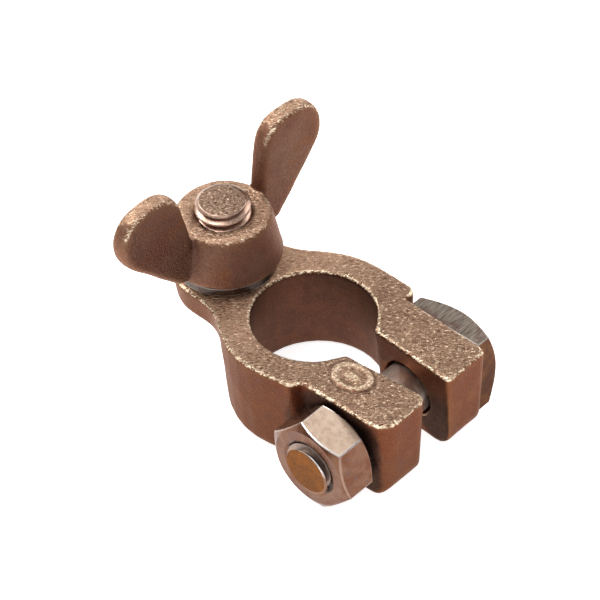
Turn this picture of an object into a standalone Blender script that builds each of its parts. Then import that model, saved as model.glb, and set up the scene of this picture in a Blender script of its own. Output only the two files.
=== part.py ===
"""Cast bronze post clamp with an earth terminal: body, stud, spring washer, wing nut, clamp bolt and hex nut.

Frame: +Z up, +X from the terminal stud towards the two clamping ears, +Y towards the bolt's square head.
The origin lies on the plane that the underside rests on, in the middle of the whole part.
Run it in Blender with: blender --background --python part.py
"""

import math

import bmesh
import bpy

MM = 0.001

# --- clamp body -------------------------------------------------------------------------------
BODY_HEIGHT = 14.8 * MM
RING_RADIUS = 13.3 * MM
BORE_RADIUS = 8.87 * MM          # at the top face; a 1 in 9 taper on the diameter opens it downwards
DRAFT = BODY_HEIGHT / 18         # how far every cast wall has drawn in at the underside
TOP_EDGE = 0.3 * MM              # rounding of the edges round the top face
BOTTOM_EDGE = 0.7 * MM           # rounding of the edges round the underside

EAR_FRONT = 22.8 * MM            # front faces of the ears, from the bore's axis
NEAR_EAR_SIDE = 10.8 * MM        # outer face of the ear under the hex nut
FAR_EAR_SIDE = 10.9 * MM         # outer face of the ear under the bolt's head
FAR_EAR_FRONT_SIDE = 10.3 * MM
EAR_FRONT_ROUND = 3.0 * MM
EAR_TOE_RADIUS = 3.9 * MM        # rounding of the ears' lower front edge
SLOT_MIDDLE = 0.25 * MM          # the slot lies a little off the bore's axis
SLOT_HALF_AT_BORE = 2.95 * MM
SLOT_HALF_AT_FRONT = 2.0 * MM
SLOT_MOUTH_NEAR = 1.8 * MM
SLOT_MOUTH_FAR = 0.8 * MM
BORE_LEAD = math.radians(10)     # the bore's wall runs straight over this much beside the slot
BORE_LIP = 0.35 * MM

SHOULDER_X = 7.5 * MM            # the face that stops the bolt's square head from turning
NEAR_STEP_X = 6.7 * MM           # the ring's wall ends here, clear of the hex nut's corners
NEAR_STEP_FOOT_X = 7.9 * MM

STUD_X = -16.6 * MM              # stud axis, from the bore's axis
PAD_RADIUS = 7.6 * MM
PAD_THICKNESS = 5.0 * MM
PAD_DRAFT = 0.6 * MM
NECK_SIDE = 8.0 * MM
NECK_X = -12.1 * MM
NECK_FILLET = 8.0 * MM
NECK_ANGLE = math.radians(123)   # where the neck leaves the ring, seen from the bore's axis
PAD_ROOT_RADIUS = 9.9 * MM       # how near the bore's axis the pad reaches inside the ring's wall
NEAR_RING_END = math.radians(-81)

# --- thread, 5/16 in. with 18 turns to the inch -------------------------------------------------
PITCH = 25.4 / 18 * MM
THREAD_CREST_RADIUS = 3.95 * MM
THREAD_ROOT_RADIUS = 3.12 * MM
THREAD_CLEARANCE = 0.13 * MM
THREAD_CREST_SHARE = 0.14        # flat crest and root, as shares of the pitch
THREAD_ROOT_SHARE = 0.22
THREAD_SIDES = 24
STUD_THREAD_TURN = math.radians(134)     # turns each thread so that its groove leaves the end at the back
BOLT_THREAD_TURN = math.radians(-148)

# --- terminal stud, spring washer and wing nut, measured up from the body's top face -------------
CONTACT_GAP = 0.25 * MM
STUD_TOP = 12.0 * MM
STUD_END_RADIUS = 3.45 * MM
STUD_END_CHAMFER = 0.7 * MM
STUD_HOLE_CLEARANCE = 0.1 * MM

WASHER_OUTER_RADIUS = 7.35 * MM
WASHER_INNER_RADIUS = 4.2 * MM
WASHER_THICKNESS = 1.5 * MM
WASHER_SPLIT = 0.9 * MM
WASHER_SPLIT_LEAN = 0.5 * MM
WASHER_SPLIT_TURN = math.radians(160)

HUB_BOTTOM = WASHER_THICKNESS + 2 * CONTACT_GAP
HUB_TOP = 9.8 * MM
HUB_BOTTOM_RADIUS = 8.2 * MM
HUB_TOP_RADIUS = 6.9 * MM
HUB_SIDES = 40
WING_THICKNESS = 2.8 * MM
WING_EDGE = 0.75 * MM
WING_TURN = math.radians(86)     # the wings' plane, from +X
FAR_WING_LEAN = math.radians(1.4)
NEAR_WING_LEAN = math.radians(-3.4)
NEAR_WING_SHIFT = 0.45 * MM      # the casting's two wings aren't quite a pair
WING_LEAN_HEIGHT = 6.0 * MM

# --- clamp bolt and hex nut ----------------------------------------------------------------------
BOLT_X = 14.2 * MM               # bolt axis, from the bore's axis
BOLT_HEIGHT = BODY_HEIGHT - 7.55 * MM
BOLT_HOLE_RADIUS = 4.4 * MM
SHANK_RADIUS = 3.9 * MM
BOLT_LENGTH = 29.0 * MM          # under the head
THREAD_START = 15.0 * MM         # from the head's bearing face
BOLT_END_RADIUS = 3.6 * MM
BOLT_END_CHAMFER = 0.35 * MM
HEAD_ACROSS_FLATS = 12.6 * MM
HEAD_HEIGHT = 3.9 * MM
HEAD_FACE_RADIUS = 6.0 * MM
NUT_ACROSS_FLATS = 12.7 * MM
NUT_THICKNESS = 5.9 * MM
NUT_FACE_RADIUS = 6.05 * MM
NUT_TURN = math.radians(-16)
CHAMFER_ANGLE = math.radians(30)
COUNTERSINK_RADIUS = 4.55 * MM
COUNTERSINK_DEPTH = 0.6 * MM

# --- places in the part's frame ------------------------------------------------------------------
BORE_X = (HUB_BOTTOM_RADIUS - STUD_X - EAR_FRONT) / 2
BORE_Y = 0.63 * MM               # the near wing reaches out further than the far one
CUT_OVER = 2.0 * MM              # how far a cutter runs past the faces that it cuts


def clear_scene():
    for obj in list(bpy.data.objects):
        bpy.data.objects.remove(obj, do_unlink=True)


# ------------------------------------------------------------------------------------------------
# Materials
# ------------------------------------------------------------------------------------------------

def metal(name, colour, roughness):
    material = bpy.data.materials.new(name)
    material.use_nodes = True
    shader = material.node_tree.nodes["Principled BSDF"]
    shader.inputs["Base Color"].default_value = (*colour, 1.0)
    shader.inputs["Roughness"].default_value = roughness
    shader.inputs["Metallic"].default_value = 1.0
    return material


def cast_bronze():
    return metal("cast_bronze", (0.36, 0.20, 0.12), 0.5)


def cut_bronze():
    return metal("cut_bronze", (0.62, 0.42, 0.30), 0.35)


def plated_steel():
    return metal("plated_steel", (0.55, 0.50, 0.46), 0.28)


def ground_steel():
    return metal("ground_steel", (0.42, 0.38, 0.34), 0.4)


# ------------------------------------------------------------------------------------------------
# Outlines made of corners: (x, y, radius), anticlockwise round the material
# ------------------------------------------------------------------------------------------------

def tangent_corner(radius, start, end):
    """The corner whose rounding is the arc of this radius about the origin, between two angles."""
    middle = (start + end) / 2
    reach = radius / math.cos((end - start) / 2)
    return (reach * math.cos(middle), reach * math.sin(middle), radius)


def unit(x, y):
    length = math.hypot(x, y)
    return x / length, y / length


def rounded_outline(corners, inset, step=math.radians(11)):
    """Points along the outline, drawn in by inset. Roundings that bulge shrink, hollow ones grow."""
    points = []
    count = len(corners)
    for i, (x, y, radius) in enumerate(corners):
        before = corners[i - 1]
        after = corners[(i + 1) % count]
        ax, ay = unit(x - before[0], y - before[1])
        bx, by = unit(after[0] - x, after[1] - y)
        turn = math.atan2(ax * by - ay * bx, ax * bx + ay * by)
        # Offset both edges to their left, which is the material's side, and meet them again.
        shift = inset * math.tan(turn / 2)
        px = x - ay * inset + ax * -shift
        py = y + ax * inset + ay * -shift
        bulges = turn > 0
        bend = max(radius - inset, 0.08 * MM) if bulges else radius + inset
        if radius == 0 or abs(turn) < 1e-6:
            points.append((px, py))
            continue
        back = bend * math.tan(abs(turn) / 2)
        side = 1 if bulges else -1
        start_x = px - ax * back
        start_y = py - ay * back
        centre_x = start_x - side * ay * bend
        centre_y = start_y + side * ax * bend
        first = math.atan2(start_y - centre_y, start_x - centre_x)
        pieces = max(2, math.ceil(abs(turn) / step))
        for k in range(pieces + 1):
            angle = first + turn * k / pieces
            points.append((centre_x + bend * math.cos(angle), centre_y + bend * math.sin(angle)))
    return points


def loft(name, corners, levels):
    """A closed mesh through the outline at each (height, inset), lowest first."""
    mesh = bpy.data.meshes.new(name)
    bm = bmesh.new()
    loops = []
    for height, inset in levels:
        outline = rounded_outline(corners, inset)
        loops.append([bm.verts.new((x, y, height)) for x, y in outline])
    count = len(loops[0])
    for low, high in zip(loops, loops[1:]):
        for i in range(count):
            j = (i + 1) % count
            bm.faces.new((low[i], low[j], high[j], high[i]))
    bm.faces.new(list(reversed(loops[0])))
    bm.faces.new(loops[-1])
    bmesh.ops.remove_doubles(bm, verts=bm.verts, dist=1e-7)
    bm.to_mesh(mesh)
    bm.free()
    return mesh


def turned(name, profile, sides):
    """A closed mesh turned about Z from (radius, height) points, lowest first. Radius 0 ends on the axis."""
    mesh = bpy.data.meshes.new(name)
    bm = bmesh.new()
    rings = []
    for radius, height in profile:
        if radius == 0:
            rings.append([bm.verts.new((0, 0, height))] * sides)
            continue
        angles = [2 * math.pi * i / sides for i in range(sides)]
        rings.append([bm.verts.new((radius * math.cos(a), radius * math.sin(a), height)) for a in angles])
    for low, high in zip(rings, rings[1:]):
        for i in range(sides):
            j = (i + 1) % sides
            corners = [low[i], low[j], high[j], high[i]]
            bm.faces.new(list(dict.fromkeys(corners)))
    if profile[0][0] > 0:
        bm.faces.new(list(reversed(rings[0])))
    if profile[-1][0] > 0:
        bm.faces.new(rings[-1])
    bm.to_mesh(mesh)
    bm.free()
    return mesh


def ring_section(name, outer, inner, height, sides):
    """A flat ring about Z, standing on its own zero."""
    mesh = bpy.data.meshes.new(name)
    bm = bmesh.new()
    section = [(inner, 0), (outer - 0.15 * MM, 0), (outer, 0.15 * MM), (outer, height - 0.15 * MM),
               (outer - 0.15 * MM, height), (inner, height)]
    rings = []
    for i in range(sides):
        angle = 2 * math.pi * i / sides
        rings.append([bm.verts.new((r * math.cos(angle), r * math.sin(angle), z)) for r, z in section])
    for i in range(sides):
        here = rings[i]
        there = rings[(i + 1) % sides]
        for k in range(len(section)):
            n = (k + 1) % len(section)
            bm.faces.new((here[k], there[k], there[n], here[n]))
    bmesh.ops.recalc_face_normals(bm, faces=bm.faces)
    bm.to_mesh(mesh)
    bm.free()
    return mesh


# ------------------------------------------------------------------------------------------------
# Screw threads
# ------------------------------------------------------------------------------------------------

def thread_radius(phase, crest_radius, root_radius):
    """Radius of the thread at a phase counted in turns from the middle of a crest."""
    away = abs((phase + 0.5) % 1 - 0.5)
    slope_start = THREAD_CREST_SHARE / 2
    slope_end = 0.5 - THREAD_ROOT_SHARE / 2
    share = (away - slope_start) / (slope_end - slope_start)
    return crest_radius + (root_radius - crest_radius) * min(max(share, 0.0), 1.0)


def threaded_rod(name, start, end, crest_radius, root_radius, tail, tip):
    """A right-hand thread about Z between two heights, with turned (radius, height) points below and above.

    The grooves run on through the points above, so that a nut can pass over that end.
    """
    breaks = (-THREAD_CREST_SHARE / 2, THREAD_CREST_SHARE / 2,
              0.5 - THREAD_ROOT_SHARE / 2, 0.5 + THREAD_ROOT_SHARE / 2)
    first = math.floor(start / PITCH) - 2
    last = math.ceil(end / PITCH) + 2
    mesh = bpy.data.meshes.new(name)
    bm = bmesh.new()
    columns = []
    for i in range(THREAD_SIDES + 1):
        share = i / THREAD_SIDES
        angle = 2 * math.pi * share
        stations = [(radius, height) for radius, height in tail]
        for turn in range(first, last):
            for offset in breaks:
                height = min(max((turn + offset + share) * PITCH, start), end)
                radius = thread_radius(height / PITCH - share, crest_radius, root_radius)
                stations.append((radius, height))
        stations += [(min(radius, thread_radius(height / PITCH - share, crest_radius, root_radius)), height)
                     for radius, height in tip]
        columns.append([(r * math.cos(angle), r * math.sin(angle), z) for r, z in stations])
    verts = [[bm.verts.new(point) for point in column] for column in columns]
    for here, there in zip(verts, verts[1:]):
        for k in range(len(here) - 1):
            bm.faces.new((here[k], there[k], there[k + 1], here[k + 1]))
    bm.faces.new([column[0] for column in reversed(verts[:-1])])
    bm.faces.new([column[-1] for column in verts[:-1]])
    # The last column lies on the first, one pitch further along the thread.
    bmesh.ops.remove_doubles(bm, verts=bm.verts, dist=1e-7)
    bmesh.ops.triangulate(bm, faces=bm.faces)
    bm.to_mesh(mesh)
    bm.free()
    return mesh


def end_chamfer(low, high, end_radius, rings=4):
    """Turned points from the thread's crest at the low end to a smaller radius at the high one."""
    shares = [k / rings for k in range(1, rings + 1)]
    return [(THREAD_CREST_RADIUS + (end_radius - THREAD_CREST_RADIUS) * share, low + (high - low) * share)
            for share in shares]


# ------------------------------------------------------------------------------------------------
# Objects and cuts
# ------------------------------------------------------------------------------------------------

def place(name, mesh, parent, location=(0, 0, 0), turn=0.0, material=None):
    obj = bpy.data.objects.new(name, mesh)
    bpy.context.scene.collection.objects.link(obj)
    obj.parent = parent
    obj.location = location
    obj.rotation_euler = (0, 0, turn)
    mesh.shade_smooth()
    mesh.set_sharp_from_angle(angle=math.radians(35))
    if material:
        mesh.materials.append(material)
    return obj


def axis_empty(name, location, tilt=0.0):
    empty = bpy.data.objects.new(name, None)
    bpy.context.scene.collection.objects.link(empty)
    empty.location = location
    empty.rotation_euler = (tilt, 0, 0)
    return empty


def combine(target, helper, operation):
    """Cut, join or trim the target with a helper object that is itself left out of renders."""
    helper.hide_render = True
    helper.display_type = "WIRE"
    modifier = target.modifiers.new(f"{operation.lower()}_{helper.name}", "BOOLEAN")
    modifier.operation = operation
    modifier.object = helper
    modifier.solver = "EXACT"


# ------------------------------------------------------------------------------------------------
# Clamp body
# ------------------------------------------------------------------------------------------------

def slot_side(x, near):
    """How far the slot's wall lies from the bore's axis, across the clamp, at a place along it."""
    share = (x - BORE_RADIUS) / (EAR_FRONT - BORE_RADIUS)
    half = SLOT_HALF_AT_BORE + (SLOT_HALF_AT_FRONT - SLOT_HALF_AT_BORE) * share
    return SLOT_MIDDLE - half if near else SLOT_MIDDLE + half


def slot_meets_bore(near):
    """The angle where the bore's round wall ends, and the lip's corner between there and the slot's wall."""
    side = slot_side(BORE_RADIUS, near)
    slope = (slot_side(EAR_FRONT, near) - side) / (EAR_FRONT - BORE_RADIUS)
    angle = math.asin(side / BORE_RADIUS) + (-BORE_LEAD if near else BORE_LEAD)
    lean = math.cos(angle) + slope * math.sin(angle)
    x = (BORE_RADIUS - (side - slope * BORE_RADIUS) * math.sin(angle)) / lean
    return angle, (x, slot_side(x, near), BORE_LIP)


def ring_corners():
    """Outline of ring and ears, with the bore and the slot as part of it."""
    near_angle, near_lip = slot_meets_bore(True)
    far_angle, far_lip = slot_meets_bore(False)
    step_side = (RING_RADIUS - NEAR_STEP_X * math.cos(NEAR_RING_END)) / math.sin(NEAR_RING_END)
    corners = [
        (EAR_FRONT, -NEAR_EAR_SIDE, EAR_FRONT_ROUND),
        (EAR_FRONT, slot_side(EAR_FRONT, True), SLOT_MOUTH_NEAR),
        near_lip,
    ]
    pieces = 6
    sweep = 2 * math.pi - far_angle + near_angle
    for k in range(pieces):
        start = near_angle - sweep * k / pieces
        corners.append(tangent_corner(BORE_RADIUS, start, start - sweep / pieces))
    corners += [
        far_lip,
        (EAR_FRONT, slot_side(EAR_FRONT, False), SLOT_MOUTH_FAR),
        (EAR_FRONT, FAR_EAR_FRONT_SIDE, 1.2 * MM),
        (SHOULDER_X, FAR_EAR_SIDE, 0.3 * MM),
        (SHOULDER_X, RING_RADIUS, 1.3 * MM),
        tangent_corner(RING_RADIUS, math.radians(90), NECK_ANGLE),
        tangent_corner(RING_RADIUS, NECK_ANGLE, math.radians(180)),
        tangent_corner(RING_RADIUS, math.radians(180), 2 * math.pi - NECK_ANGLE),
        tangent_corner(RING_RADIUS, 2 * math.pi - NECK_ANGLE, 2 * math.pi + NEAR_RING_END),
        (NEAR_STEP_X, step_side, 1.0 * MM),
        (NEAR_STEP_FOOT_X, -NEAR_EAR_SIDE, 1.2 * MM),
    ]
    return corners


def pad_corners():
    """Outline of the terminal pad and its necks, which run on into the ring's wall."""
    neck_x = RING_RADIUS * math.cos(NECK_ANGLE)
    neck_y = RING_RADIUS * math.sin(NECK_ANGLE)
    rear = STUD_X - PAD_RADIUS
    corners = [
        (neck_x, neck_y, 0),
        (NECK_X, NECK_SIDE, NECK_FILLET),
        (rear, PAD_RADIUS, PAD_RADIUS),
        (rear, -PAD_RADIUS, PAD_RADIUS),
        (NECK_X, -NECK_SIDE, NECK_FILLET),
        (neck_x, -neck_y, 0),
    ]
    pieces = 4
    for k in range(pieces + 1):
        angle = math.pi + (math.pi - NECK_ANGLE) * (1 - 2 * k / pieces)
        corners.append((PAD_ROOT_RADIUS * math.cos(angle), PAD_ROOT_RADIUS * math.sin(angle), 0))
    return corners


def wall_levels(depth, drawn_in):
    """Heights below the top face and insets of a cast wall: rounded foot, drafted side, rounded top edge."""
    return [
        (-depth, drawn_in + BOTTOM_EDGE),
        (-depth + 0.3 * BOTTOM_EDGE, drawn_in + 0.3 * BOTTOM_EDGE),
        (-depth + BOTTOM_EDGE, drawn_in),
        (-TOP_EDGE, 0),
        (-0.3 * TOP_EDGE, 0.3 * TOP_EDGE),
        (0, TOP_EDGE),
    ]


def toe_cutter_mesh():
    """What is cut off the ears' lower front edge: the corner outside a rounding, drawn in XZ."""
    front = EAR_FRONT - DRAFT * 0.75
    low = -BODY_HEIGHT
    over = CUT_OVER
    profile = [
        (front - EAR_TOE_RADIUS, low - over),
        (front + over, low - over),
        (front + over, low + EAR_TOE_RADIUS),
    ]
    pieces = 8
    for k in range(pieces + 1):
        angle = -math.pi / 2 * k / pieces
        profile.append((front + EAR_TOE_RADIUS * (math.cos(angle) - 1),
                        low + EAR_TOE_RADIUS * (1 + math.sin(angle))))
    mesh = bpy.data.meshes.new("toe_cutter")
    bm = bmesh.new()
    reach = NEAR_EAR_SIDE + CUT_OVER
    sides = [[bm.verts.new((x, y, z)) for x, z in profile] for y in (-reach, reach)]
    bm.faces.new(sides[0])
    bm.faces.new(list(reversed(sides[1])))
    for k in range(len(profile)):
        n = (k + 1) % len(profile)
        bm.faces.new((sides[0][k], sides[1][k], sides[1][n], sides[0][n]))
    bmesh.ops.recalc_face_normals(bm, faces=bm.faces)
    bm.to_mesh(mesh)
    bm.free()
    return mesh


def make_body(bronze, bore_axis, stud_axis, bolt_axis):
    mesh = loft("clamp_body", ring_corners(), wall_levels(BODY_HEIGHT, DRAFT))
    body = place("clamp_body", mesh, bore_axis, material=bronze)
    pad_mesh = loft("pad_helper", pad_corners(), wall_levels(PAD_THICKNESS, PAD_DRAFT))
    pad = place("pad_helper", pad_mesh, bore_axis)
    combine(body, pad, "UNION")
    combine(body, place("toe_cutter", toe_cutter_mesh(), bore_axis), "DIFFERENCE")
    reach = BOLT_LENGTH
    hole = turned("bolt_hole_cutter", [(BOLT_HOLE_RADIUS, -reach), (BOLT_HOLE_RADIUS, reach)], 32)
    combine(body, place("bolt_hole_cutter", hole, bolt_axis), "DIFFERENCE")
    radius = THREAD_CREST_RADIUS + STUD_HOLE_CLEARANCE
    hole = turned("stud_hole_cutter", [(radius, -PAD_THICKNESS - CUT_OVER), (radius, CUT_OVER)], THREAD_SIDES)
    combine(body, place("stud_hole_cutter", hole, stud_axis), "DIFFERENCE")


# ------------------------------------------------------------------------------------------------
# Terminal: stud, spring washer, wing nut
# ------------------------------------------------------------------------------------------------

def make_stud(bronze, stud_axis):
    chamfer_start = STUD_TOP - STUD_END_CHAMFER
    chamfer = end_chamfer(chamfer_start, STUD_TOP - 0.25 * STUD_END_CHAMFER, STUD_END_RADIUS)
    mesh = threaded_rod("terminal_stud", CONTACT_GAP, chamfer_start, THREAD_CREST_RADIUS, THREAD_ROOT_RADIUS,
                        tail=[(THREAD_CREST_RADIUS - 0.2 * MM, -PAD_THICKNESS),
                              (THREAD_CREST_RADIUS, -PAD_THICKNESS + 0.2 * MM),
                              (THREAD_CREST_RADIUS, -CONTACT_GAP)],
                        tip=chamfer + [(STUD_END_RADIUS - 0.2 * MM, STUD_TOP)])
    place("terminal_stud", mesh, stud_axis, turn=STUD_THREAD_TURN, material=bronze)


def make_washer(steel, stud_axis):
    mesh = ring_section("spring_washer", WASHER_OUTER_RADIUS, WASHER_INNER_RADIUS, WASHER_THICKNESS, 48)
    washer = place("spring_washer", mesh, stud_axis, (0, 0, CONTACT_GAP), material=steel)
    half = WASHER_SPLIT / 2
    split = [(WASHER_INNER_RADIUS - CUT_OVER, -half, 0), (WASHER_OUTER_RADIUS + CUT_OVER, -half, 0),
             (WASHER_OUTER_RADIUS + CUT_OVER, half, 0), (WASHER_INNER_RADIUS - CUT_OVER, half, 0)]
    over = CUT_OVER / 2
    mesh = loft("split_cutter", split, [(-over, 0), (WASHER_THICKNESS + over, 0)])
    for vertex in mesh.vertices:
        # The slit slants, so that the ends of the coil slide past each other.
        vertex.co.y += WASHER_SPLIT_LEAN * (vertex.co.z / WASHER_THICKNESS - 0.5) * 2
    cutter = place("split_cutter", mesh, stud_axis, (0, 0, CONTACT_GAP), WASHER_SPLIT_TURN)
    combine(washer, cutter, "DIFFERENCE")


def wing_corners():
    """One wing in its own plane: distance from the stud's axis, height above the body's top, rounding."""
    root = 3.6 * MM
    return [
        (root, 3.2 * MM, 0),
        (9.2 * MM, 3.2 * MM, 1.5 * MM),
        (18.2 * MM, 13.4 * MM, 5.5 * MM),
        (18.3 * MM, 20.6 * MM, 4.6 * MM),
        (8.0 * MM, 20.8 * MM, 4.4 * MM),
        (6.1 * MM, 9.0 * MM, 0),
        (root, 9.0 * MM, 0),
    ]


def wing_mesh(name, lean, shift):
    """A wing with rounded edges, stood up so that its plane holds X and Z, leant inwards and shifted out."""
    half = WING_THICKNESS / 2
    levels = [(-half, WING_EDGE), (-half + 0.3 * WING_EDGE, 0.3 * WING_EDGE), (-half + WING_EDGE, 0),
              (half - WING_EDGE, 0), (half - 0.3 * WING_EDGE, 0.3 * WING_EDGE), (half, WING_EDGE)]
    mesh = loft(name, wing_corners(), levels)
    for vertex in mesh.vertices:
        x, y, z = vertex.co
        y -= WING_LEAN_HEIGHT
        vertex.co = (x * math.cos(lean) - y * math.sin(lean) + shift, -z,
                     x * math.sin(lean) + y * math.cos(lean) + WING_LEAN_HEIGHT)
    return mesh


def make_wing_nut(bronze, stud_axis):
    rim = 0.8 * MM
    hub = turned("wing_nut", [
        (HUB_BOTTOM_RADIUS - 0.6 * MM, HUB_BOTTOM),
        (HUB_BOTTOM_RADIUS, HUB_BOTTOM + 0.5 * MM),
        (HUB_TOP_RADIUS, HUB_TOP - rim),
        (HUB_TOP_RADIUS - 0.3 * rim, HUB_TOP - 0.3 * rim),
        (HUB_TOP_RADIUS - rim, HUB_TOP),
    ], HUB_SIDES)
    nut = place("wing_nut", hub, stud_axis, turn=WING_TURN, material=bronze)
    wings = (("far_wing_helper", 0, FAR_WING_LEAN, 0),
             ("near_wing_helper", math.pi, NEAR_WING_LEAN, NEAR_WING_SHIFT))
    for name, turn, lean, shift in wings:
        combine(nut, place(name, wing_mesh(name, lean, shift), stud_axis, turn=WING_TURN + turn), "UNION")
    cut_thread(nut, "wing_nut_thread_cutter", stud_axis, HUB_BOTTOM, HUB_TOP, STUD_THREAD_TURN)


def cut_thread(nut, name, axis, low, high, turn):
    """A tapped hole in phase with the thread on the same axis, countersunk at both ends."""
    over = CUT_OVER
    crest = THREAD_CREST_RADIUS + THREAD_CLEARANCE
    root = THREAD_ROOT_RADIUS + THREAD_CLEARANCE
    mesh = threaded_rod(name, low - over / 2, high + over / 2, crest, root, tail=[(root, low - over)],
                        tip=[(root, high + over)])
    combine(nut, place(name, mesh, axis, turn=turn), "DIFFERENCE")
    slope = (COUNTERSINK_RADIUS - root) / COUNTERSINK_DEPTH
    over = 0.2 * MM
    wide = COUNTERSINK_RADIUS + over * slope
    for end, face, inward in (("low", low, 1), ("high", high, -1)):
        inner = (root, face + inward * COUNTERSINK_DEPTH)
        outer = (wide, face - inward * over)
        profile = [outer, inner] if inward > 0 else [inner, outer]
        cone = turned(f"{name}_{end}", profile, HUB_SIDES)
        combine(nut, place(f"{name}_{end}", cone, axis), "DIFFERENCE")


# ------------------------------------------------------------------------------------------------
# Clamp bolt and hex nut, drawn along the bolt's axis from the head's bearing face towards the nut
# ------------------------------------------------------------------------------------------------

def flat_sided(name, sides, across_flats, low, high):
    """A prism about Z with a flat towards +X."""
    radius = across_flats / 2 / math.cos(math.pi / sides)
    mesh = turned(name, [(radius, low), (radius, high)], sides)
    turn = math.pi / sides
    for vertex in mesh.vertices:
        x, y, z = vertex.co
        vertex.co = (x * math.cos(turn) - y * math.sin(turn), x * math.sin(turn) + y * math.cos(turn), z)
    return mesh


def chamfer_profile(face_radius, widest, low, high, both_ends):
    """A turned envelope whose cones take the corners off a prism between two heights."""
    drop = (widest - face_radius) * math.tan(CHAMFER_ANGLE)
    if not both_ends:
        return [(face_radius, low), (widest, low + drop), (widest, high + CUT_OVER)]
    return [(face_radius, low), (widest, low + drop), (widest, high - drop), (face_radius, high)]


def make_bolt(steel, bolt_axis):
    widest = HEAD_ACROSS_FLATS / 2 * math.sqrt(2) * 1.05
    head = flat_sided("clamp_bolt", 4, HEAD_ACROSS_FLATS, -HEAD_HEIGHT, 0)
    bolt = place("clamp_bolt", head, bolt_axis, material=steel)
    profile = chamfer_profile(HEAD_FACE_RADIUS, widest, -HEAD_HEIGHT, 0, both_ends=False)
    combine(bolt, place("head_envelope", turned("head_envelope", profile, 48), bolt_axis), "INTERSECT")
    chamfer_start = BOLT_LENGTH - BOLT_END_CHAMFER
    mesh = threaded_rod("shank_helper", THREAD_START, chamfer_start, THREAD_CREST_RADIUS, THREAD_ROOT_RADIUS,
                        tail=[(SHANK_RADIUS, -1.0 * MM), (SHANK_RADIUS, THREAD_START - 0.4 * MM)],
                        tip=end_chamfer(chamfer_start, BOLT_LENGTH, BOLT_END_RADIUS))
    combine(bolt, place("shank_helper", mesh, bolt_axis, turn=BOLT_THREAD_TURN), "UNION")


def make_nut(steel, bolt_axis, bearing):
    widest = NUT_ACROSS_FLATS / 2 / math.cos(math.pi / 6) * 1.04
    low = bearing
    high = bearing + NUT_THICKNESS
    prism = flat_sided("hex_nut", 6, NUT_ACROSS_FLATS, 0, NUT_THICKNESS)
    nut = place("hex_nut", prism, bolt_axis, (0, 0, low), NUT_TURN + math.pi / 2, steel)
    profile = chamfer_profile(NUT_FACE_RADIUS, widest, low, high, both_ends=True)
    combine(nut, place("nut_envelope", turned("nut_envelope", profile, 48), bolt_axis), "INTERSECT")
    cut_thread(nut, "hex_nut_thread_cutter", bolt_axis, low, high, BOLT_THREAD_TURN)


def main():
    clear_scene()
    bronze = cast_bronze()
    steel = plated_steel()
    bore_axis = axis_empty("bore_axis", (BORE_X, BORE_Y, BODY_HEIGHT))
    stud_axis = axis_empty("stud_axis", (BORE_X + STUD_X, BORE_Y, BODY_HEIGHT))
    # Tilted so that its Z runs along -Y, from the head towards the nut.
    head_seat = FAR_EAR_SIDE + CONTACT_GAP
    bolt_axis = axis_empty("bolt_axis", (BORE_X + BOLT_X, BORE_Y + head_seat, BOLT_HEIGHT), math.pi / 2)
    make_body(bronze, bore_axis, stud_axis, bolt_axis)
    make_stud(cut_bronze(), stud_axis)
    make_washer(steel, stud_axis)
    make_wing_nut(bronze, stud_axis)
    make_bolt(ground_steel(), bolt_axis)
    make_nut(steel, bolt_axis, head_seat + NEAR_EAR_SIDE + CONTACT_GAP)


main()
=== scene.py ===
"""Looks of the cast bronze post clamp: each CAD node is stood for by a detailed piece of the same size.

The two castings are remeshed, so that their edges and corners are worn round and their skin has a real grain.
The stud gets a fine thread. The bolt, nut and washer keep their shapes and get broken edges.
"""

import math

import bmesh
import bpy
import numpy as np
from mathutils import Matrix, Vector, noise


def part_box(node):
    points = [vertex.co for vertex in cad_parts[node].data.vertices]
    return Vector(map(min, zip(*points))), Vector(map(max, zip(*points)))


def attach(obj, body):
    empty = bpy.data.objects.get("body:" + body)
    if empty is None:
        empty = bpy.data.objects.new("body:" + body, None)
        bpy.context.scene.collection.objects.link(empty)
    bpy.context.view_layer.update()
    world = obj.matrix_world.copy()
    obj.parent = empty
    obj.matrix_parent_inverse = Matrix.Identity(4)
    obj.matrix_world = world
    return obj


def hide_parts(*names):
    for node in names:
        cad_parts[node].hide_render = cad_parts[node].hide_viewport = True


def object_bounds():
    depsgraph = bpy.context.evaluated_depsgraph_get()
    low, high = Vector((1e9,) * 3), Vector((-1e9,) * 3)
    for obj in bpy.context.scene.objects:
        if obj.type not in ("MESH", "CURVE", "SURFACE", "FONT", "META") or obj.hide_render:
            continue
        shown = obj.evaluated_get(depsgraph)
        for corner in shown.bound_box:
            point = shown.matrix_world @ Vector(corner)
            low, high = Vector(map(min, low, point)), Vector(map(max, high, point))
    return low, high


MM = 0.001

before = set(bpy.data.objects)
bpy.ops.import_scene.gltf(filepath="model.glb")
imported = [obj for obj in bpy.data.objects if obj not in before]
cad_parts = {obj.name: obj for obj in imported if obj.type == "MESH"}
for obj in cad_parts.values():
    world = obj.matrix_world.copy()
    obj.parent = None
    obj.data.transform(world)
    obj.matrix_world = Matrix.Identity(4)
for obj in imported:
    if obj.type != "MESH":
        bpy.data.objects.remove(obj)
cad_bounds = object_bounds()

# Places that everything else is measured from.
STUD_LOW, STUD_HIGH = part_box("terminal_stud")
BOLT_LOW, BOLT_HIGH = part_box("clamp_bolt")
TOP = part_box("clamp_body")[1].z
NUT_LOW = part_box("hex_nut")[0]
WASHER_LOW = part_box("spring_washer")[0]
STUD_AXIS = (STUD_LOW + STUD_HIGH) / 2
BOLT_AXIS = (BOLT_LOW + BOLT_HIGH) / 2
STUD_TO_BORE = 16.6 * MM
BORE_AXIS = STUD_AXIS + Vector((STUD_TO_BORE, 0, 0))

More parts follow.
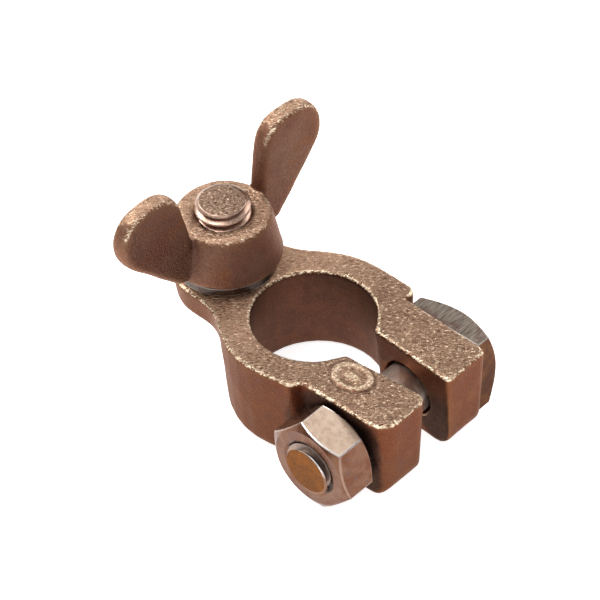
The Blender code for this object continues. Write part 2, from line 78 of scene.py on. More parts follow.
# The castings.
BODY_VOXEL = 0.19 * MM
WING_VOXEL = 0.17 * MM
WORN_DEPTH = 0.10 * MM               # a bulge this high counts as fully worn
BORE_WALL_RADIUS = 9.9 * MM          # the bore's tapered wall lies inside this
SLOT_START = 7 * MM                  # along X from the bore's axis
SLOT_MIDDLE = 0.25 * MM
SLOT_HALF = 3.1 * MM
SEAT_SIDE = -6 * MM                  # the hex nut sits further to this side of the bore's axis
SEAT_MARGIN = 3.5 * MM
SEAT_RADIUS = 9.4 * MM               # painted shadow around the hex nut fades out here
WRINKLE_TURN = math.radians(44)      # the skin's wrinkles run this way from +X

# The raised mark on the near ear; its outline's sizes are in mm.
MARK_CENTRE = BORE_AXIS + Vector((12.2 * MM, -5.5 * MM, 0))
MARK_HALF_LENGTH = 3.4
MARK_HALF_WIDTH = 2.6
BAR_HALF_LENGTH = 1.5
BAR_HALF_WIDTH = 0.75
MARK_HEIGHT = 0.22 * MM
MARK_FOOT_DEPTH = 0.12 * MM

# The screw threads.
PITCH = 25.4 / 18 * MM
CREST_RADIUS = 3.95 * MM
ROOT_RADIUS = 3.12 * MM
CREST_SHARE = 0.14
ROOT_SHARE = 0.22
STUD_THREAD_TURN = math.radians(134)
STUD_END_RINGS = (2.9 * MM, 1.4 * MM)
# The stud's rounded end, in mm: distance below its face, and the radius there.
END_ROUNDING = [(0.0, 3.22), (0.05, 3.36), (0.14, 3.46), (0.40, 3.72), (0.72, 3.95)]

# The turned and pressed pieces.
SHARP = math.radians(20)
WASHER_EDGE = 0.16 * MM
NUT_EDGE = 0.24 * MM
BOLT_EDGE = 0.20 * MM
NUT_OUTSIDE = 6.2 * MM               # further from the bolt's axis than this are the nut's outer edges
NUT_THREAD_OUTSIDE = 4.4 * MM
BOLT_HEAD_OUTSIDE = 5.0 * MM

# The floor.
FLOOR_SIZE = 2.0
FLOOR_GAP = 0.15 * MM
FLOOR_GLOW = 0.80                    # the floor is lit from beneath a little, like a light table


# ------------------------------------------------------------------------------------------------
# Shader nodes
# ------------------------------------------------------------------------------------------------

class Shader:
    """A material's node tree, written one node at a time."""

    def __init__(self, name):
        self.material = bpy.data.materials.new(name)
        self.material.use_nodes = True
        self.tree = self.material.node_tree
        self.surface = self.tree.nodes["Principled BSDF"]
        self.place = self.tree.nodes.new("ShaderNodeTexCoord").outputs["Object"]
        self.facing = self.tree.nodes["Texture Coordinate"].outputs["Normal"]

    def node(self, kind, inputs=None, **settings):
        node = self.tree.nodes.new(kind)
        for key, value in settings.items():
            setattr(node, key, value)
        for key, value in (inputs or {}).items():
            self.feed(node.inputs[key], value)
        return node

    def feed(self, socket, value):
        if isinstance(value, bpy.types.NodeSocket):
            self.tree.links.new(value, socket)
        else:
            socket.default_value = value

    def math(self, operation, first, second):
        return self.node("ShaderNodeMath", {0: first, 1: second}, operation=operation).outputs[0]

    def times(self, first, second):
        return self.math("MULTIPLY", first, second)

    def scaled(self, colour, amount):
        """The colour made brighter or darker."""
        return self.node("ShaderNodeVectorMath", {0: colour, "Scale": amount}, operation="SCALE").outputs[0]

    def noise(self, size, detail, roughness, distortion=0.0, stretch=None, turn=0.0):
        """Noise whose blotches are about this large, in metres, from 0 to 1 about a half."""
        place = self.place
        if turn:
            place = self.node("ShaderNodeMapping", {"Vector": place, "Rotation": (0, 0, -turn)}).outputs[0]
        if stretch:
            place = self.node("ShaderNodeMapping", {"Vector": place, "Scale": stretch}).outputs[0]
        node = self.node("ShaderNodeTexNoise", {"Vector": place, "Scale": 1 / size, "Detail": detail,
                                                "Roughness": roughness, "Distortion": distortion})
        return node.outputs["Fac"]

    def ramp(self, value, low, high, from_value=0.0, to_value=1.0):
        """A smooth step of the value from low to high."""
        node = self.node("ShaderNodeMapRange", {"Value": value, "From Min": low, "From Max": high,
                                                "To Min": from_value, "To Max": to_value},
                         interpolation_type="SMOOTHSTEP")
        return node.outputs["Result"]

    def mix(self, share, first, second):
        """The first colour where the share is 0, the second where it is 1."""
        node = self.node("ShaderNodeMix", data_type="RGBA", clamp_factor=True)
        self.feed(node.inputs[0], share)
        self.feed(node.inputs[6], self.colour(first))
        self.feed(node.inputs[7], self.colour(second))
        return node.outputs[2]

    def colour(self, value):
        """A red, green and blue with the fourth number that sockets need; a socket stays as it is."""
        return (*value, 1.0) if isinstance(value, tuple) and len(value) == 3 else value

    def attribute(self, name):
        """A number that was noted on the mesh."""
        return self.node("ShaderNodeAttribute", attribute_name=name).outputs["Fac"]

    def position(self, axis):
        return self.node("ShaderNodeSeparateXYZ", {0: self.place}).outputs[axis]

    def direction(self, axis):
        """How far the surface faces along this axis, from -1 to 1."""
        return self.node("ShaderNodeSeparateXYZ", {0: self.facing}).outputs[axis]

    def upward(self, low, high):
        """1 where the surface faces up, 0 on its sides."""
        return self.ramp(self.direction("Z"), low, high)

    def bump(self, height, distance, strength=1.0):
        inputs = {"Height": height, "Distance": distance, "Strength": strength}
        return self.node("ShaderNodeBump", inputs).outputs["Normal"]

    def tint_slant(self, colour):
        """Colours what the metal reflects at a slant, which would be white otherwise."""
        self.feed(self.surface.inputs["Specular Tint"], self.colour(colour))

    def finish(self, colour, roughness, normal=None, metallic=1.0):
        self.feed(self.surface.inputs["Base Color"], self.colour(colour))
        self.feed(self.surface.inputs["Roughness"], roughness)
        self.feed(self.surface.inputs["Metallic"], metallic)
        if normal is not None:
            self.feed(self.surface.inputs["Normal"], normal)
        return self.material


# ------------------------------------------------------------------------------------------------
# Materials
# ------------------------------------------------------------------------------------------------

def cast_skin(name, reddish, brownish, up_low, side_grain, pad_painted_light, ear_painted_light, ring_side_painted_light=1.0):
    """As-cast bronze: a wrinkled skin where it faces up, coloured lighter than the smooth brown sides partly
    as painted light, with painted highlights as its sparkle and on its worn edges.

    Painted light: the top's brightness goes from the pad's factor to the ears' factor along X, and the sides'
    from their own factor to 1.
    """
    s = Shader(name)
    along = s.position("X")
    # Painted light: the top is made brighter or darker along X, standing in for how much lamp light reaches
    # it.
    top_painted_light = s.ramp(along, STUD_AXIS.x + 5 * MM, BORE_AXIS.x + 8 * MM, pad_painted_light, ear_painted_light)
    # Painted shade: the sides are made darker towards the ring.
    side_painted_light = s.ramp(along, BORE_AXIS.x + 2 * MM, BORE_AXIS.x + 11 * MM, ring_side_painted_light, 1.0)
    up = s.upward(up_low, 0.96)
    lit = s.upward(0.12, 0.45)
    grit = s.noise(0.36 * MM, 3.0, 0.64, 0.6, (0.72, 1.4, 1.0), WRINKLE_TURN)
    fine = s.noise(0.15 * MM, 2.0, 0.6)
    grain = s.noise(0.26 * MM, 3.0, 0.65)
    patch = s.noise(3.0 * MM, 4.0, 0.6, 0.8)
    wide = s.noise(9.0 * MM, 2.0, 0.5, 0.4)

    # The sides: brown with red and dark patches, with painted shade inside the bore and a painted black
    # shadow in the slot and around the hex nut.
    side = s.mix(s.ramp(wide, 0.38, 0.62), reddish, brownish)
    side = s.mix(s.ramp(patch, 0.50, 0.70, 0.0, 0.5), side, (0.105, 0.045, 0.036))
    side = s.mix(s.ramp(patch, 0.46, 0.30, 0.0, 0.45), side, (0.190, 0.070, 0.028))
    side = s.mix(s.ramp(grain, 0.54, 0.74, 0.0, 0.45), side, (0.28, 0.130, 0.070))
    side = s.mix(s.ramp(grain, 0.46, 0.28, 0.0, 0.60), side, (0.060, 0.024, 0.016))
    side = s.mix(s.times(s.attribute("wear"), 0.35), side, (0.30, 0.145, 0.070))
    # Painted shade: the bore's walls get a darker brown.
    dark = s.mix(s.ramp(patch, 0.34, 0.66), (0.094, 0.041, 0.028), (0.126, 0.052, 0.032))
    dark = s.mix(s.ramp(grain, 0.52, 0.74, 0.0, 0.5), dark, (0.24, 0.120, 0.080))
    side = s.scaled(side, side_painted_light)
    side = s.mix(s.attribute("inner"), side, dark)
    # Painted shadow: nearly black in the slot and around the hex nut.
    slot_seat_shadow = s.mix(s.ramp(grain, 0.40, 0.70), (0.020, 0.012, 0.010), (0.060, 0.032, 0.024))
    side = s.mix(s.attribute("slot_seat_shadow"), side, slot_seat_shadow)

    # The top: dark between its wrinkles, with painted highlights as sparkle on them; lighter than the sides,
    # partly as painted light from above.
    top = s.mix(s.ramp(patch, 0.35, 0.7), (0.33, 0.195, 0.130), (0.42, 0.265, 0.172))
    top = s.mix(s.ramp(grit, 0.47, 0.32), top, (0.105, 0.052, 0.032))
    top = s.scaled(top, top_painted_light)
    top = s.mix(s.ramp(grit, 0.55, 0.70), top, (0.86, 0.67, 0.48))
    # Partly painted light: the up-facing colour is lighter than the sides' colour.
    colour = s.mix(up, side, top)

    # Worn edges and the mark's crest get painted highlights where they face up; hollows and the mark's foot
    # get painted shade.
    glint = s.mix(s.ramp(grit, 0.42, 0.60), (0.42, 0.265, 0.165), (1.0, 0.84, 0.62))
    worn = s.math("ADD", s.attribute("wear"), s.times(s.math("SUBTRACT", grit, 0.5), 1.3))
    # Painted highlight: only the worn edges that face up glint.
    worn = s.times(s.ramp(worn, 0.58, 0.98), lit)
    colour = s.mix(worn, colour, glint)
    # Painted highlight on the mark's crest.
    colour = s.mix(s.times(s.attribute("crest"), 0.6), colour, glint)
    # Painted shade in the creases and in the groove round the mark's foot.
    dips = s.ramp(s.attribute("dip_shade"), 0.3, 1.2, 0.0, 0.8)
    foot = s.times(s.attribute("foot"), s.ramp(patch, 0.35, 0.6, 0.35, 0.75))
    dips = s.math("MAXIMUM", dips, foot)
    colour = s.mix(dips, colour, (0.050, 0.026, 0.020))

    # The grain stands out most on top and on the worn edges.
    rough = s.mix(up, s.ramp(fine, 0.2, 0.8, 0.42, 0.58), s.ramp(fine, 0.2, 0.8, 0.24, 0.40))
    rough = s.math("SUBTRACT", rough, s.times(worn, 0.10))
    depth = s.math("ADD", s.times(grit, 0.75), s.times(fine, 0.25))
    strength = s.math("MAXIMUM", s.ramp(up, 0.0, 1.0, side_grain, 1.0), s.times(worn, 0.9))
    s.tint_slant((0.93, 0.80, 0.73))
    return s.finish(colour, rough, s.bump(depth, 0.27 * MM, strength))


def cut_thread_bronze():
    """The stud: bright cut threads, and an end that kept the rough cast skin."""
    s = Shader("cut_thread_bronze")
    tip = s.ramp(s.position("Z"), STUD_HIGH.z - 0.3 * MM, STUD_HIGH.z - 0.15 * MM)
    end = s.times(s.upward(0.9, 0.98), tip)
    grit = s.noise(0.40 * MM, 3.0, 0.6, 0.5)
    fine = s.noise(0.15 * MM, 3.0, 0.6)
    lines = s.noise(0.40 * MM, 2.0, 0.5, 0.0, (1.0, 1.0, 3.0))
    skin = s.mix(s.ramp(grit, 0.50, 0.36), (0.27, 0.172, 0.120), (0.090, 0.050, 0.032))
    # Painted highlights as sparkle on the end's grit.
    skin = s.mix(s.ramp(grit, 0.56, 0.70), skin, (0.80, 0.62, 0.46))
    cut = s.mix(s.ramp(lines, 0.35, 0.65), (0.36, 0.225, 0.168), (0.54, 0.385, 0.300))
    # Painted shade in the thread's roots.
    cut = s.mix(s.ramp(s.attribute("dip_shade"), 0.15, 0.9), cut, (0.15, 0.075, 0.052))
    rough = s.mix(end, s.ramp(lines, 0.3, 0.7, 0.30, 0.44), s.ramp(fine, 0.2, 0.8, 0.34, 0.50))
    depth = s.mix(end, s.times(lines, 0.12), s.math("ADD", grit, s.times(fine, 0.3)))
    return s.finish(s.mix(end, cut, skin), rough, s.bump(depth, 0.24 * MM))


def washer_plate():
    """The spring washer: grey plating with brown blots, painted dark as shade beneath the hub, its edges a
    little lighter with a painted highlight along the lower edge.
    """
    s = Shader("washer_plate")
    blot = s.noise(2.2 * MM, 4.0, 0.6, 0.4)
    speck = s.noise(0.3 * MM, 3.0, 0.6)
    low = s.ramp(s.position("Z"), WASHER_LOW.z + 0.35 * MM, WASHER_LOW.z + 0.15 * MM)
    # Painted shade: the washer's colours are kept dark, as it lies in the shade beneath the hub.
    colour = s.mix(s.ramp(blot, 0.38, 0.62), (0.080, 0.062, 0.053), (0.045, 0.029, 0.023))
    colour = s.mix(s.ramp(speck, 0.58, 0.75), colour, (0.150, 0.122, 0.105))
    # Painted highlight along the lower edge; the upper edges are only a little lighter.
    colour = s.mix(s.times(s.attribute("edge"), s.ramp(low, 0.0, 1.0, 0.2, 1.0)), colour,
                   (0.80, 0.74, 0.70))
    return s.finish(colour, s.ramp(speck, 0.3, 0.7, 0.26, 0.42), s.bump(speck, 0.02 * MM, 0.8))


def nut_plate():
    """The hex nut: the flat facing up painted light as if lit, red-brown stain on the rest darkened as
    painted shade, light lines along its chamfers with painted highlights where they face up.
    """
    s = Shader("nut_plate")
    up = s.upward(0.62, 0.86)
    ahead = s.direction("X")
    lit = s.times(s.upward(0.30, 0.60), s.ramp(ahead, -0.15, 0.05))
    blot = s.noise(3.6 * MM, 4.0, 0.6, 0.5)
    cloud = s.noise(1.3 * MM, 4.0, 0.6, 0.3)
    haze = s.noise(0.8 * MM, 1.0, 0.5)
    lit_top_flat = s.mix(s.ramp(cloud, 0.30, 0.70), (0.60, 0.430, 0.320), (0.70, 0.530, 0.41))
    stained = s.mix(s.ramp(blot, 0.38, 0.60), (0.122, 0.047, 0.025), (0.160, 0.080, 0.049))
    stained = s.mix(s.ramp(cloud, 0.54, 0.72, 0.0, 0.8), stained, (0.110, 0.060, 0.050))
    # Painted light: the up-facing flat gets the light colour, the other flats the darker stained one.
    colour = s.mix(up, stained, lit_top_flat)
    edge = s.times(s.attribute("edge"), s.ramp(cloud, 0.30, 0.50, 0.7, 1.0))
    colour = s.mix(s.times(edge, 0.20), colour, (0.60, 0.47, 0.40))
    # Painted highlight along the chamfers that face up and towards +X.
    colour = s.mix(s.times(edge, s.times(lit, 0.75)), colour, (1.0, 0.93, 0.90))
    # Painted shade inside the nut's threaded bore.
    colour = s.mix(s.attribute("inner"), colour, (0.035, 0.022, 0.018))
    return s.finish(colour, s.ramp(haze, 0.3, 0.7, 0.26, 0.31))


def bolt_steel():
    """The bolt: its head's top ground grey one way, its sides stained, a rusty end whose rim has a painted
    highlight above and painted shade below, and a shank painted light where it shows in the slot.
    """
    s = Shader("bolt_steel")
    up = s.upward(0.7, 0.95)
    lit = s.upward(0.10, 0.45)
    across = s.position("Y")
    head = s.ramp(across, BOLT_HIGH.y - 4.2 * MM, BOLT_HIGH.y - 4.0 * MM)
    rim = s.ramp(across, BOLT_LOW.y + 0.46 * MM, BOLT_LOW.y + 0.36 * MM)
    threaded = s.ramp(across, BOLT_LOW.y + 6 * MM, BOLT_LOW.y + 4 * MM)
    end = s.ramp(across, BOLT_LOW.y + 0.06 * MM, BOLT_LOW.y + 0.02 * MM)
    lines = s.noise(1.2 * MM, 5.0, 0.75, 0.0, (7.0, 0.6, 1.0))
    blot = s.noise(2.6 * MM, 4.0, 0.6, 0.5)
    speck = s.noise(0.3 * MM, 3.0, 0.6)
    ground = s.mix(s.ramp(lines, 0.32, 0.68), (0.120, 0.093, 0.075), (0.32, 0.270, 0.222))
    ground = s.mix(s.ramp(blot, 0.46, 0.62, 0.0, 0.75), ground, (0.150, 0.088, 0.075))
    side = s.mix(s.ramp(blot, 0.36, 0.60), (0.044, 0.020, 0.018), (0.092, 0.041, 0.022))
    side = s.mix(s.ramp(speck, 0.56, 0.74, 0.0, 0.4), side, (0.20, 0.100, 0.060))
    rust = s.mix(s.ramp(blot, 0.36, 0.64), (0.160, 0.058, 0.015), (0.104, 0.045, 0.020))
    rust = s.mix(s.ramp(speck, 0.50, 0.70, 0.0, 0.8), rust, (0.090, 0.036, 0.018))
    # Painted light: the shank is coloured light where it shows in the slot, as if lit from above; its
    # threaded end is darker.
    lit_shank = s.mix(s.ramp(blot, 0.4, 0.6), (0.78, 0.66, 0.57), (0.58, 0.45, 0.37))
    lit_shank = s.mix(threaded, lit_shank, (0.26, 0.200, 0.168))
    colour = s.mix(head, lit_shank, s.mix(up, side, ground))
    # Painted highlight on the rim's upper side and painted shade on its lower side.
    colour = s.mix(s.times(rim, lit), colour, (0.92, 0.88, 0.86))
    colour = s.mix(s.times(rim, s.math("SUBTRACT", 1.0, lit)), colour, (0.20, 0.110, 0.075))
    colour = s.mix(end, colour, rust)
    # Edges lighter from wear, and more so as painted highlight where they face up.
    colour = s.mix(s.times(s.attribute("edge"), s.ramp(lit, 0.0, 1.0, 0.1, 0.35)), colour,
                   (0.70, 0.62, 0.56))
    rough = s.mix(up, s.ramp(speck, 0.3, 0.7, 0.32, 0.46), s.ramp(lines, 0.3, 0.7, 0.26, 0.42))
    depth = s.mix(s.times(up, head), s.times(speck, 0.8), lines)
    s.tint_slant((0.90, 0.70, 0.60))
    return s.finish(colour, rough, s.bump(depth, 0.022 * MM, 0.8))


def pale_floor():
    """A white sheet of paper, glowing a little."""
    s = Shader("pale_floor")
    tone = s.noise(180 * MM, 2.0, 0.5)
    grain = s.noise(1.2 * MM, 3.0, 0.6)
    colour = s.mix(s.ramp(tone, 0.3, 0.7), (0.93, 0.93, 0.93), (0.95, 0.95, 0.95))
    s.feed(s.surface.inputs["Emission Color"], (1, 1, 1, 1))
    s.feed(s.surface.inputs["Emission Strength"], FLOOR_GLOW)
    return s.finish(colour, 0.85, s.bump(grain, 0.02 * MM, 0.2), 0.0)


# ------------------------------------------------------------------------------------------------
# Meshes
# ------------------------------------------------------------------------------------------------

def copy_of(node, name):
    """A new piece with the node's own mesh, without its materials and stored normals."""
    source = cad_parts[node]
    piece = bpy.data.objects.new(name, source.data.copy())
    bpy.context.scene.collection.objects.link(piece)
    piece.data.materials.clear()
    if piece.data.attributes.get("custom_normal"):
        piece.data.attributes.remove(piece.data.attributes["custom_normal"])
    return piece


def weld(mesh, flat):
    """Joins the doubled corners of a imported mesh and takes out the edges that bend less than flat."""
    bm = bmesh.new()
    bm.from_mesh(mesh)
    bmesh.ops.remove_doubles(bm, verts=bm.verts, dist=0.0005 * MM)
    bmesh.ops.dissolve_limit(bm, angle_limit=flat, verts=bm.verts, edges=bm.edges)
    bm.to_mesh(mesh)
    bm.free()


def applied(piece):
    """The piece, with its modifiers worked into its mesh."""
    graph = bpy.context.evaluated_depsgraph_get()
    mesh = bpy.data.meshes.new_from_object(piece.evaluated_get(graph))
    piece.modifiers.clear()
    piece.data = mesh
    return piece


def neighbours(mesh):
    """The two ends of each edge, and how many edges meet at each point."""
    count = len(mesh.edges) * 2
    ends = np.empty(count, np.int32)
    mesh.edges.foreach_get("vertices", ends)
    ends = ends.reshape(-1, 2)
    weight = np.bincount(ends.ravel(), minlength=len(mesh.vertices)).astype(float)
    return ends, np.maximum(weight, 1)


def averaged(values, ends, weight):
    """Each point's value replaced by the mean of its neighbours'."""
    total = np.zeros_like(values)
    np.add.at(total, ends[:, 0], values[ends[:, 1]])
    np.add.at(total, ends[:, 1], values[ends[:, 0]])
    return total / (weight[:, None] if values.ndim == 2 else weight)


def points_of(mesh):
    points = np.empty(len(mesh.vertices) * 3, np.float32)
    mesh.vertices.foreach_get("co", points)
    return points.reshape(-1, 3).astype(float)


def move_points(mesh, points):
    mesh.vertices.foreach_set("co", points.astype(np.float32).ravel())
    mesh.update()


def normals_of(mesh):
    normals = np.empty(len(mesh.vertices) * 3, np.float32)
    mesh.vertex_normals.foreach_get("vector", normals)
    return normals.reshape(-1, 3).astype(float)


def note_curvature(mesh, reach, full):
    """Stores how sharply each point bulges (wear) or dips, the dips for painted shade, against the surface's
    own average.
    """
    ends, weight = neighbours(mesh)
    points = points_of(mesh)
    blurred = points
    for _ in range(reach):
        blurred = averaged(blurred, ends, weight)
    lift = np.einsum("ij,ij->i", points - blurred, normals_of(mesh))
    note(mesh, "wear", np.clip(lift / full, 0, 1))
    note(mesh, "dip_shade", np.clip(-lift / full, 0, 1))


def smooth_points(mesh, rounds):
    ends, weight = neighbours(mesh)
    points = points_of(mesh)
    for _ in range(rounds):
        points = averaged(points, ends, weight)
    move_points(mesh, points)


def push_out(mesh, amount):
    """Moves each point along its normal by amount(point, normal), in metres."""
    points = points_of(mesh)
    normals = normals_of(mesh)
    shift = np.array([amount(Vector(p), Vector(n)) for p, n in zip(points, normals)])
    move_points(mesh, points + normals * shift[:, None])


def casting(node, name, voxel, rounds, reach, amount):
    """The node's shape with worn edges, cast fillets and a gritty skin."""
    piece = copy_of(node, name)
    weld(piece.data, math.radians(0.5))
    remesh = piece.modifiers.new("remesh", "REMESH")
    remesh.mode = "VOXEL"
    remesh.voxel_size = voxel
    applied(piece)
    smooth_points(piece.data, rounds)
    note_curvature(piece.data, reach, WORN_DEPTH)
    push_out(piece.data, amount)
    piece.data.shade_smooth()
    return piece


def note(mesh, name, values, domain="POINT"):
    """Stores a number for each point or face, for the materials to read."""
    mesh.attributes.new(name, "FLOAT", domain).data.foreach_set("value", np.asarray(values, np.float32))


def grit(point, size):
    """Noise about zero, whose bumps are about this large."""
    return noise.noise(point / size)


# ------------------------------------------------------------------------------------------------
# Threads
# ------------------------------------------------------------------------------------------------

def thread_radius(phase):
    """The thread's radius at this share of a turn past a crest: flat crest and root, rounded flanks."""
    away = abs((phase + 0.5) % 1 - 0.5)
    start = CREST_SHARE / 2
    end = 0.5 - ROOT_SHARE / 2
    share = min(max((away - start) / (end - start), 0.0), 1.0)
    eased = share * share * (3 - 2 * share)
    return CREST_RADIUS + (ROOT_RADIUS - CREST_RADIUS) * (0.55 * share + 0.45 * eased)


def end_limit(below):
    """Radius of the rounded end at this distance below its face."""
    for (near, inner), (far, outer) in zip(END_ROUNDING, END_ROUNDING[1:]):
        if below <= far * MM:
            share = (below / MM - near) / (far - near)
            return (inner + (outer - inner) * share) * MM
    return CREST_RADIUS


def thread_mesh(name, tail, start, end, sides=96, steps=16):
    """A right-hand thread about Z from start to a rounded end, on the tail's (radius, height) rings."""
    count = round((end - start) / PITCH * steps)
    heights = [start + (end - start) * k / count for k in range(count)]
    heights += [end - below * MM for below in (0.05, 0.0)]
    bm = bmesh.new()
    dip_shade = bm.verts.layers.float.new("dip_shade")
    columns = []
    for i in range(sides):
        angle = 2 * math.pi * i / sides
        stations = list(tail)
        stations += [(min(thread_radius(z / PITCH - i / sides), end_limit(end - z)), z) for z in heights]
        stations += [(radius, end) for radius in STUD_END_RINGS]
        column = []
        for r, z in stations:
            vert = bm.verts.new((r * math.cos(angle), r * math.sin(angle), z))
            depth = (CREST_RADIUS - thread_radius(z / PITCH - i / sides)) / (CREST_RADIUS - ROOT_RADIUS)
            # How deep the thread's root is here, for the painted shade in it.
            vert[dip_shade] = min(max(depth * 1.3 - 0.35, 0.0), 1.0) if start < z < end - 0.3 * MM else 0.0
            column.append(vert)
        columns.append(column)
    for i in range(sides):
        here = columns[i]
        there = columns[(i + 1) % sides]
        for k in range(len(here) - 1):
            bm.faces.new((here[k], there[k], there[k + 1], here[k + 1]))
    bm.faces.new([column[0] for column in reversed(columns)])
    bm.faces.new([column[-1] for column in columns])
    mesh = bpy.data.meshes.new(name)
    bm.to_mesh(mesh)
    bm.free()
    mesh.shade_smooth()
    return mesh


def off_bolt_axis(x, z):
    return np.hypot(x - BOLT_AXIS.x, z - BOLT_AXIS.z)


def machined(node, name, edge, outside=0.0):
    """The node's own shape; its sharp edges this far outside the bolt's axis are broken, and noted."""
    piece = copy_of(node, name)
    weld(piece.data, math.radians(0.3))
    mesh = piece.data
    bm = bmesh.new()
    bm.from_mesh(mesh)
    weight = bm.edges.layers.float.new("bevel_weight_edge")
    for rim in bm.edges:
        middle = (rim.verts[0].co + rim.verts[1].co) / 2
        outer = off_bolt_axis(middle.x, middle.z) > outside
        if rim.is_manifold and rim.calc_face_angle() > SHARP and outer:
            rim[weight] = 1.0
    bm.to_mesh(mesh)
    bm.free()
    mesh.shade_smooth()
    mesh.set_sharp_from_angle(angle=SHARP)
    mesh.materials.append(bpy.data.materials.new("flat"))
    mesh.materials.append(bpy.data.materials.new("edge"))
    bevel = piece.modifiers.new("edges", "BEVEL")
    bevel.width = edge
    bevel.segments = 3
    bevel.limit_method = "WEIGHT"
    bevel.harden_normals = True
    bevel.material = 1
    applied(piece)
    mesh = piece.data
    slots = np.empty(len(mesh.polygons), np.int32)
    mesh.polygons.foreach_get("material_index", slots)
    note(mesh, "edge", slots, "FACE")
    mesh.polygons.foreach_set("material_index", np.zeros_like(slots))
    return piece


def stand_for(piece, node, body, material):
    """Shows the piece in the node's place, moving with the body."""
    piece.data.materials.clear()
    piece.data.materials.append(material)
    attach(piece, body)
    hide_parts(node)


# ------------------------------------------------------------------------------------------------
# Pieces
# ------------------------------------------------------------------------------------------------

def step(value, low, high):
    """A smooth step from 0 at low to 1 at high."""
    share = np.clip((value - low) / (high - low), 0, 1)
    return share * share * (3 - 2 * share)


def raise_mark(mesh):
    """Raises a plain oval with a bar in it on top of the near ear, and notes its foot and its crest."""
    points = points_of(mesh)
    x = (points[:, 0] - MARK_CENTRE.x) / MM
    y = (points[:, 1] - MARK_CENTRE.y) / MM
    on_top = (normals_of(mesh)[:, 2] > 0.8) & (points[:, 2] > TOP - 0.4 * MM)
    middle_size = (MARK_HALF_LENGTH + MARK_HALF_WIDTH) / 2
    outside = (np.hypot(x / MARK_HALF_LENGTH, y / MARK_HALF_WIDTH) - 1) * middle_size
    ridge = step(0.55 - np.abs(outside + 0.55), 0.0, 0.25)
    foot = step(0.26 - np.abs(outside - 0.18), 0.0, 0.2)
    bar = step(BAR_HALF_WIDTH - np.abs(y), 0.0, 0.3) * step(BAR_HALF_LENGTH - np.abs(x), 0.0, 0.3)
    crest = np.maximum(ridge, bar) * on_top
    foot = foot * on_top
    points[:, 2] += MARK_HEIGHT * crest - MARK_FOOT_DEPTH * foot
    note(mesh, "crest", crest)
    note(mesh, "foot", foot)
    move_points(mesh, points)


def body_amount(point, normal):
    """How far the body's skin stands out here: grainy on top, gently swelling everywhere."""
    up = max(0.0, min(1.0, (normal.z - 0.8) / 0.15))
    grain = grit(point, 0.7 * MM) * (0.012 + 0.035 * up)
    swell = grit(point, 4.0 * MM) * 0.07
    return (grain + swell + 0.04) * MM


def wing_amount(point, normal):
    """The same for the wing nut, whose skin is rougher."""
    up = max(0.0, min(1.0, (normal.z - 0.5) / 0.3))
    grain = grit(point, 0.7 * MM) * (0.018 + 0.03 * up)
    swell = grit(point, 3.5 * MM) * 0.09
    return (grain + swell + 0.05) * MM


def note_dark_places(mesh):
    """Notes the walls of the bore, which get painted shade, and the slot and the nut's seat, which get a
    painted black shadow.
    """
    points = points_of(mesh)
    normals = normals_of(mesh)
    x = points[:, 0] - BORE_AXIS.x
    y = points[:, 1] - BORE_AXIS.y
    below = TOP - points[:, 2]
    wall = np.clip((0.5 - normals[:, 2]) / 0.3, 0, 1)
    inside = (np.hypot(x, y) < BORE_WALL_RADIUS) * wall
    front = np.clip((0.7 - normals[:, 0]) / 0.3, 0, 1)
    slot = (x > SLOT_START) & (np.abs(y - SLOT_MIDDLE) < SLOT_HALF)
    slot = slot * front * step(below, 1.5 * MM, 7 * MM) * wall
    around = off_bolt_axis(points[:, 0], points[:, 2])
    seat = (y < SEAT_SIDE) & (points[:, 0] > NUT_LOW.x - SEAT_MARGIN)
    seat = seat * step(-normals[:, 1], 0.75, 0.97) * step(SEAT_RADIUS - around, 0, 1.6 * MM)
    note(mesh, "inner", inside)
    note(mesh, "slot_seat_shadow", 0.85 * np.maximum(slot, seat))


def make_body():
    piece = casting("clamp_body", "body_casting", BODY_VOXEL, rounds=6, reach=8, amount=body_amount)
    note_dark_places(piece.data)
    raise_mark(piece.data)
    skin = cast_skin("body_skin", reddish=(0.124, 0.036, 0.017), brownish=(0.132, 0.046, 0.022),
                     up_low=0.8, side_grain=0.4, pad_painted_light=1.45, ear_painted_light=0.72, ring_side_painted_light=0.78)
    stand_for(piece, "clamp_body", "clamp", skin)


def make_wing_nut():
    piece = casting("wing_nut", "wing_nut_casting", WING_VOXEL, rounds=8, reach=12, amount=wing_amount)
    skin = cast_skin("wing_nut_skin", reddish=(0.142, 0.062, 0.041), brownish=(0.156, 0.080, 0.055),
                     up_low=0.66, side_grain=1.0, pad_painted_light=1.12, ear_painted_light=1.12)
    stand_for(piece, "wing_nut", "wing_nut", skin)


def make_stud():
    low = STUD_LOW.z - TOP
    tail = [(CREST_RADIUS - 0.2 * MM, low), (CREST_RADIUS, low + 0.2 * MM), (CREST_RADIUS, -0.3 * MM)]
    mesh = thread_mesh("stud_thread", tail, 0.2 * MM, STUD_HIGH.z - TOP)
    place = Matrix.Translation((STUD_AXIS.x, STUD_AXIS.y, TOP)) @ Matrix.Rotation(STUD_THREAD_TURN, 4, "Z")
    mesh.transform(place)
    piece = bpy.data.objects.new("stud_detail", mesh)
    bpy.context.scene.collection.objects.link(piece)
    stand_for(piece, "terminal_stud", "clamp", cut_thread_bronze())


def make_washer():
    piece = machined("spring_washer", "washer_detail", WASHER_EDGE)
    stand_for(piece, "spring_washer", "washer", washer_plate())


def make_nut():
    piece = machined("hex_nut", "nut_detail", NUT_EDGE, NUT_OUTSIDE)
    points = points_of(piece.data)
    # The nut's threaded bore is noted for painted shade.
    note(piece.data, "inner", off_bolt_axis(points[:, 0], points[:, 2]) < NUT_THREAD_OUTSIDE)
    stand_for(piece, "hex_nut", "hex_nut", nut_plate())


def make_bolt():
    piece = machined("clamp_bolt", "bolt_detail", BOLT_EDGE, BOLT_HEAD_OUTSIDE)
    stand_for(piece, "clamp_bolt", "bolt", bolt_steel())


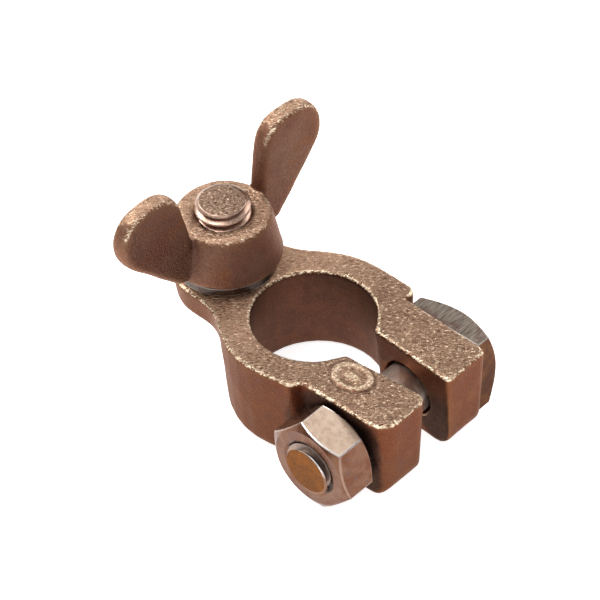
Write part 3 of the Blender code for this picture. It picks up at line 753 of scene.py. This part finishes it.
# ------------------------------------------------------------------------------------------------
# Floor, light and camera
# ------------------------------------------------------------------------------------------------

def make_floor():
    bpy.ops.mesh.primitive_plane_add(size=FLOOR_SIZE, location=(0, 0, cad_bounds[0].z - FLOOR_GAP))
    floor = bpy.context.object
    floor.name = "floor"
    floor.data.materials.append(pale_floor())


def soft_light(name, power, size, location, aim):
    """A rectangular white light of this many watts, turned towards the aim."""
    light = bpy.data.lights.new(name, "AREA")
    light.energy = power
    light.shape = "RECTANGLE"
    light.size, light.size_y = size
    lamp = bpy.data.objects.new(name, light)
    bpy.context.scene.collection.objects.link(lamp)
    lamp.location = location
    lamp.rotation_euler = (Vector(aim) - Vector(location)).to_track_quat("-Z", "Y").to_euler()


def make_lights():
    """A sky that darkens towards the ground, and four soft lights around the part."""
    world = bpy.data.worlds.new("studio")
    world.use_nodes = True
    tree = world.node_tree
    sky = tree.nodes["Background"]
    sky.inputs["Strength"].default_value = 0.62
    place = tree.nodes.new("ShaderNodeTexCoord")
    parts = tree.nodes.new("ShaderNodeSeparateXYZ")
    ramp = tree.nodes.new("ShaderNodeValToRGB")
    tree.links.new(place.outputs["Generated"], parts.inputs[0])
    tree.links.new(parts.outputs["Z"], ramp.inputs["Fac"])
    tree.links.new(ramp.outputs["Color"], sky.inputs["Color"])
    ramp.color_ramp.elements[0].position = 0.05
    ramp.color_ramp.elements[0].color = (0.30, 0.28, 0.27, 1)
    ramp.color_ramp.elements[1].position = 0.85
    ramp.color_ramp.elements[1].color = (1, 1, 1, 1)
    bpy.context.scene.world = world
    aim = (0, 0, 10 * MM)
    soft_light("key", 0.90, (0.16, 0.12), (-0.30, -0.02, 0.26), aim)
    soft_light("back", 0.55, (0.20, 0.14), (-0.02, 0.28, 0.24), aim)
    soft_light("fill", 0.25, (0.14, 0.22), (0.28, -0.22, 0.20), aim)
    soft_light("top", 0.50, (0.12, 0.12), (-0.07, -0.11, 0.30), aim)


def make_camera():
    """The view: from the near side of the clamp's ears, above the horizon and very slightly rolled."""
    azimuth = math.radians(44.51)
    elevation = math.radians(43.65)
    roll = math.radians(-2.89)
    back = Vector((math.sin(azimuth) * math.cos(elevation), -math.cos(azimuth) * math.cos(elevation),
                   math.sin(elevation)))
    right = Vector((math.cos(azimuth), math.sin(azimuth), 0))
    up = back.cross(right)
    rolled_right = right * math.cos(roll) + up * math.sin(roll)
    rolled_up = up * math.cos(roll) - right * math.sin(roll)
    aim = Vector((BORE_AXIS.x, BORE_AXIS.y, TOP)) + Vector((-3.54, 1.05, 0)) * MM
    distance = 603.67 * MM
    data = bpy.data.cameras.new("camera")
    data.sensor_width = 36
    data.lens = 260.2
    data.clip_start = 0.01
    data.clip_end = 10
    camera = bpy.data.objects.new("camera", data)
    bpy.context.scene.collection.objects.link(camera)
    turn = Matrix((rolled_right, rolled_up, back)).transposed().to_4x4()
    camera.matrix_world = Matrix.Translation(aim + back * distance) @ turn
    bpy.context.scene.camera = camera


def main():
    make_body()
    make_wing_nut()
    make_stud()
    make_washer()
    make_nut()
    make_bolt()
    make_floor()
    make_lights()
    make_camera()
    bpy.context.scene.view_settings.view_transform = "Standard"


main()
